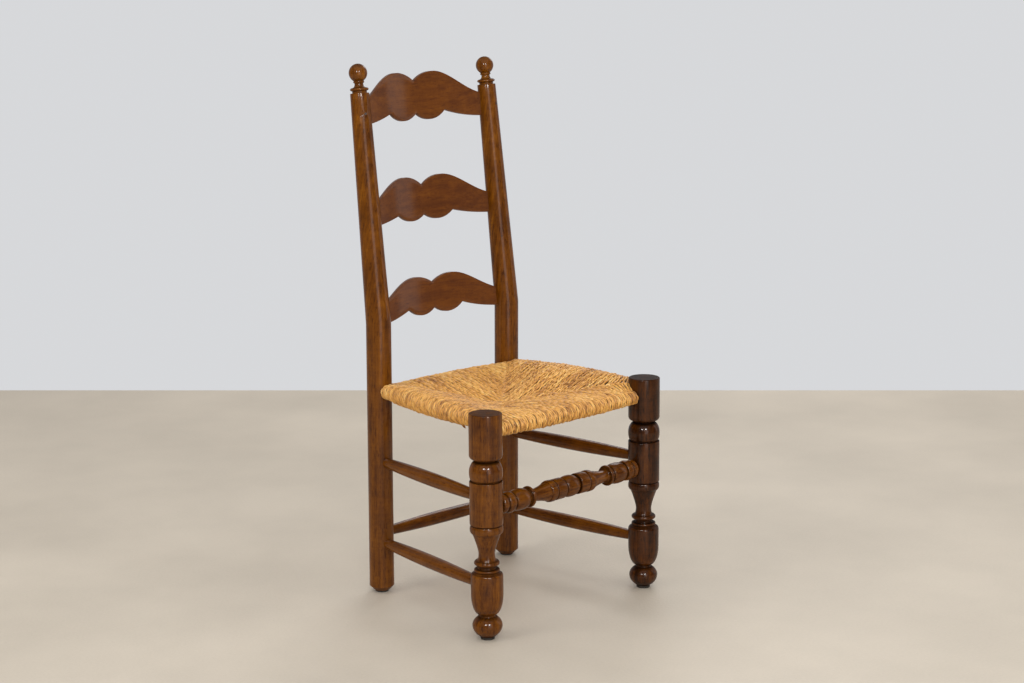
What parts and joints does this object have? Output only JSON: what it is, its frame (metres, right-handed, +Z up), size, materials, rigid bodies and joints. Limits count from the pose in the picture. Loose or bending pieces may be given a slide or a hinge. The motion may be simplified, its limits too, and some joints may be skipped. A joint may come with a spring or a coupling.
{
  "type": "dining chair",
  "caption": "Ladder-back side chair with turned front legs, kinked back posts, bowed shaped slats and a woven rush seat.",
  "frame": {"origin": "on the floor under the middle of the chair's bounding box", "axes": "+Z up, -Y towards the front of the chair, -X towards the left side as seen from in front"},
  "size_m": [0.5184, 0.4957, 1.0899],
  "materials": {
    "stained_wood": "brown stain under a satin varnish",
    "peg_wood": "dark end grain, varnished",
    "rail_wood": "bare turned wood",
    "rush": "twisted golden rush with darker flecks",
    "stuffing": "chopped dry rush",
    "glide_plastic": "dark brown nylon"
  },
  "bodies": {
    "root": {"front_leg_left": "stained_wood", "front_leg_right": "stained_wood", "back_post_left": "stained_wood", "back_post_right": "stained_wood", "finial_left": "stained_wood", "finial_right": "stained_wood", "back_slat_top": "stained_wood", "back_slat_middle": "stained_wood", "back_slat_lower": "stained_wood", "slat_pegs": "peg_wood", "front_stretcher": "stained_wood", "side_stretcher_left_upper": "stained_wood", "side_stretcher_left_lower": "stained_wood", "side_stretcher_right_upper": "stained_wood", "side_stretcher_right_lower": "stained_wood", "back_stretcher": "stained_wood", "seat_rail_front": "rail_wood", "seat_rail_back": "rail_wood", "seat_rail_left": "rail_wood", "seat_rail_right": "rail_wood", "rush_seat": "rush", "seat_stuffing": "stuffing", "foot_glides": "glide_plastic"}
  },
  "joints": []
}
